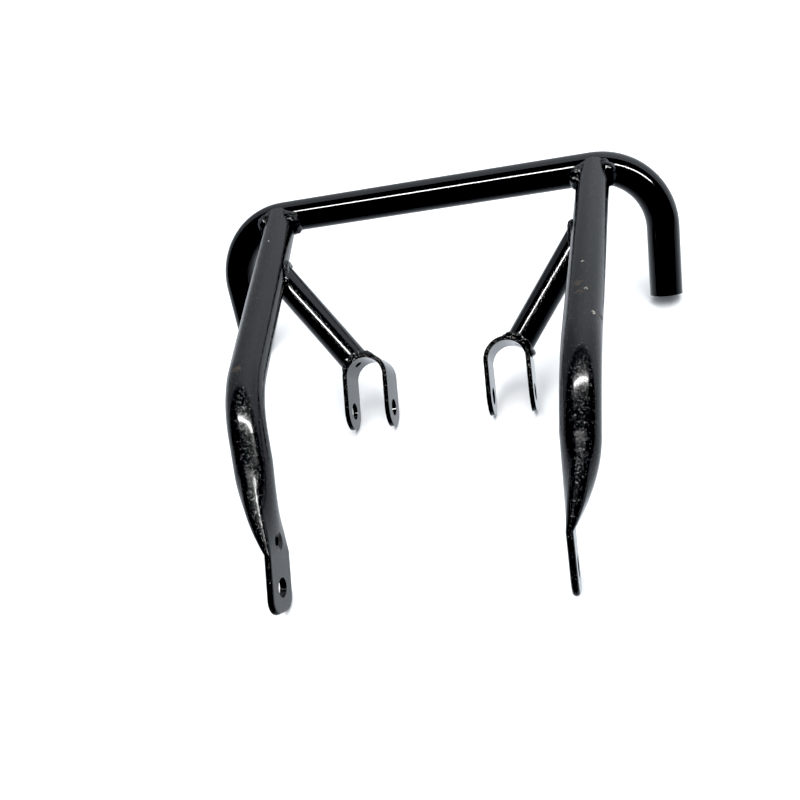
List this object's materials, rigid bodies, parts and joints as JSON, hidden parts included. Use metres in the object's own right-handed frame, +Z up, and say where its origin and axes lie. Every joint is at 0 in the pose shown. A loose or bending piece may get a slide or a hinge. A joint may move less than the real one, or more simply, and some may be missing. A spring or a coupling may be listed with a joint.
{
  "type": "front bumper",
  "caption": "Welded tubular front bumper for a quad bike: bent hoop, uprights flattened to bolt tabs, and struts to U-shaped saddle brackets, painted black.",
  "frame": {"origin": "on the floor, midway across the width and midway along the depth, as it stands on its legs and tabs", "axes": "+X across the vehicle, +Y from the tabs towards the hoop, +Z up from the floor it stands on"},
  "size_m": [0.335, 0.3034, 0.0981],
  "materials": {
    "tube_paint": "gloss black paint, chipped and worn in places",
    "bracket_paint": "gloss black paint, flaked along the strap's edges",
    "weld_paint": "painted weld bead"
  },
  "bodies": {
    "root": {"hoop_tube": "tube_paint", "left_upright": "tube_paint", "right_upright": "tube_paint", "left_strut": "tube_paint", "right_strut": "tube_paint", "left_bracket": "bracket_paint", "right_bracket": "bracket_paint", "left_hoop_weld": "weld_paint", "right_hoop_weld": "weld_paint", "left_strut_weld": "weld_paint", "right_strut_weld": "weld_paint", "left_bracket_weld": "weld_paint", "right_bracket_weld": "weld_paint"}
  },
  "joints": []
}
